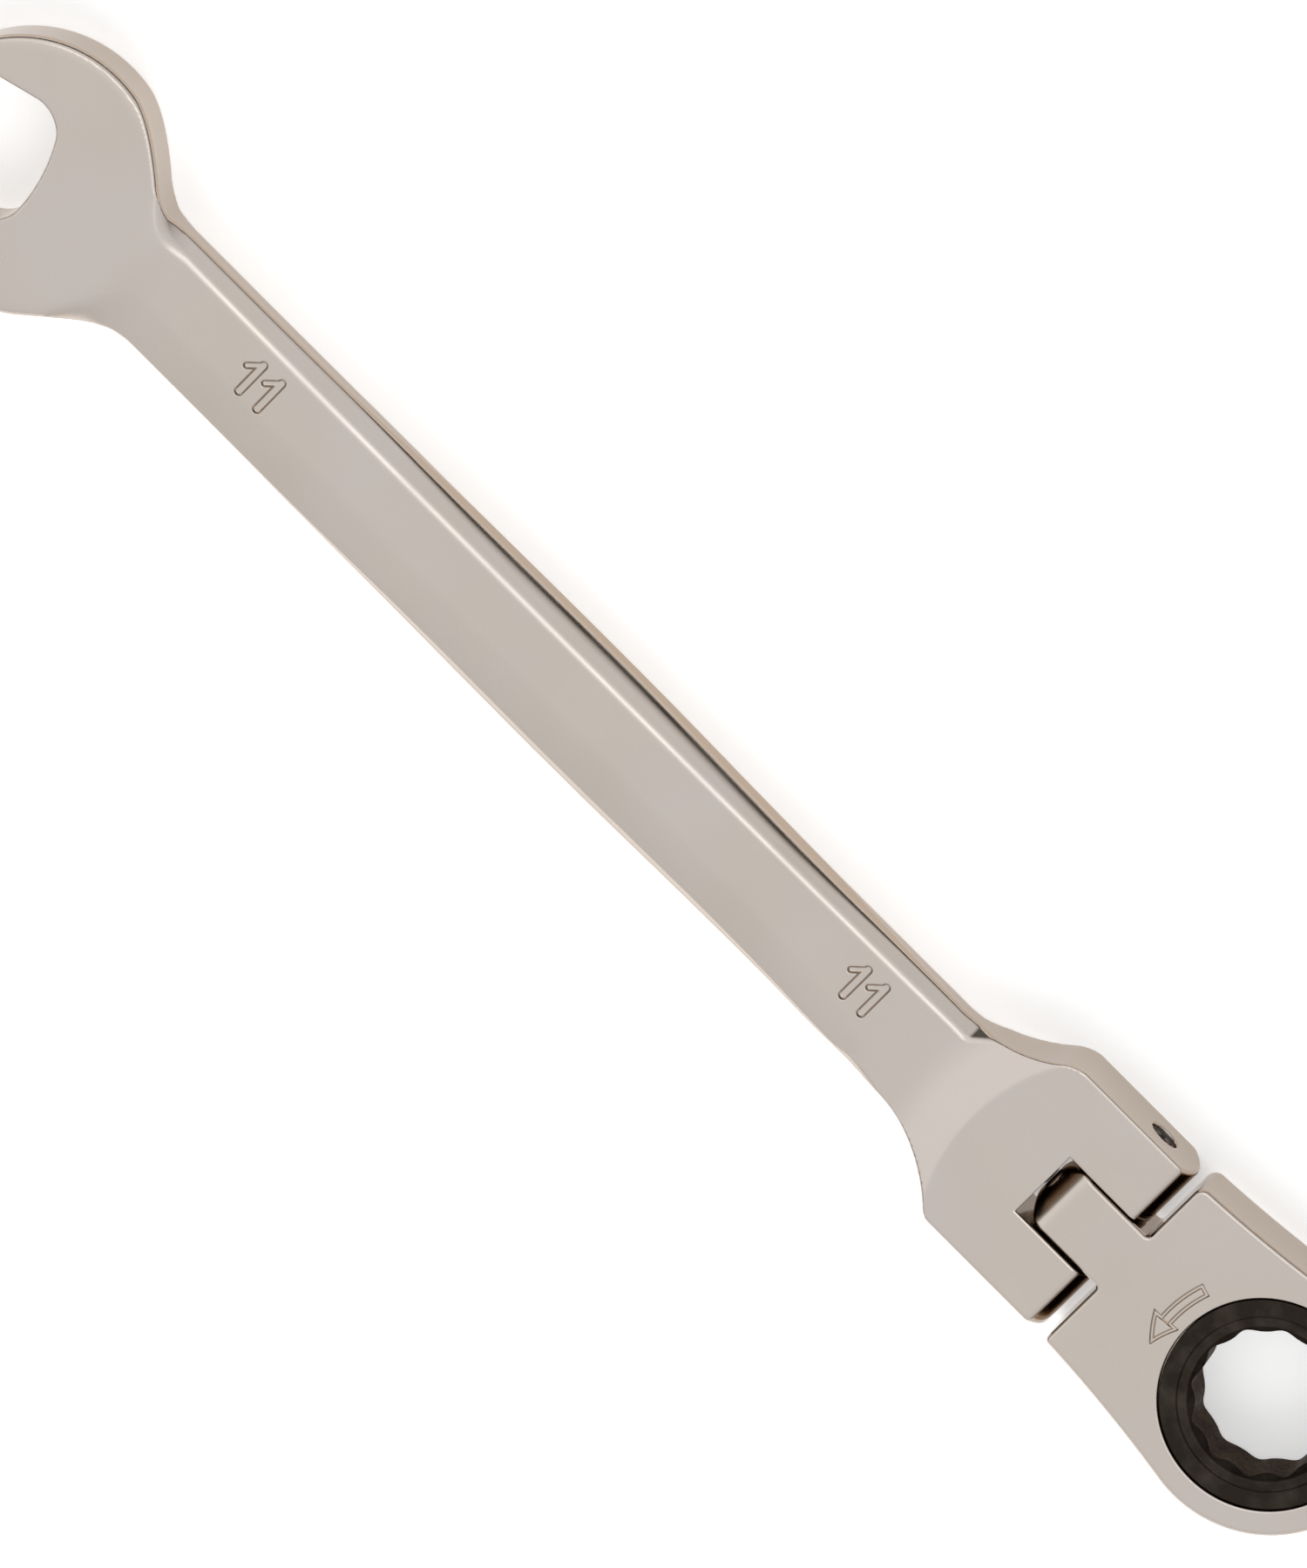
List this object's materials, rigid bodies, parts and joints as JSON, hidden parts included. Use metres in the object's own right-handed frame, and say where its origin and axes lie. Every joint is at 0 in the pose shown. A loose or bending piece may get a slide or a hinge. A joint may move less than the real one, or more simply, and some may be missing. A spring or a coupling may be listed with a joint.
{
  "type": "flex-head ratcheting combination wrench",
  "caption": "Chrome combination wrench with an angled open end, a flat shank and a tilting ratchet head with a twelve-point drive ring.",
  "frame": {"origin": "on the drive axis of the ring, half way through its thickness", "axes": "+X from the open end to the ring end, +Z out of the face with the size number and the direction arrow, +Y the side that the open jaw leans away from"},
  "size_m": [0.1629, 0.0233, 0.0074],
  "materials": {
    "polished_chrome": "satin polished chrome plate",
    "black_oxide": "oiled black oxide",
    "dark_steel": "darkened spring steel",
    "spring_steel": "bright spring steel"
  },
  "bodies": {
    "handle": {"handle": "polished_chrome", "hinge_pin": "dark_steel", "detent_spring": "spring_steel"},
    "head": {"ratchet_head": "polished_chrome", "pawl_spring": "spring_steel"},
    "gear": {"ring_gear": "black_oxide", "retaining_ring": "spring_steel"},
    "pawl": {"pawl": "black_oxide"},
    "plunger": {"detent_plunger": "spring_steel"}
  },
  "joints": [
    {"name": "head_tilt", "type": "hinge", "parent": "handle", "child": "head", "pos_m": [-0.02106, 0, 0], "axis": [0, -1, 0], "range_deg": [-90, 90]},
    {"name": "gear_spin", "type": "hinge", "parent": "head", "child": "gear", "pos_m": [0, 0, 0], "axis": [0, 0, 1], "continuous": true},
    {"name": "pawl_slide", "type": "slide", "parent": "head", "child": "pawl", "axis": [-1, 0, 0], "range_m": [0, 0.00055], "stiffness_N_per_m": 300, "springref_m": -0.001, "deforming": ["pawl_spring"]},
    {"name": "plunger_slide", "type": "slide", "parent": "handle", "child": "plunger", "axis": [-1, 0, 0], "range_m": [0, 0.0006], "stiffness_N_per_m": 500, "springref_m": -0.001, "deforming": ["detent_spring"]}
  ]
}
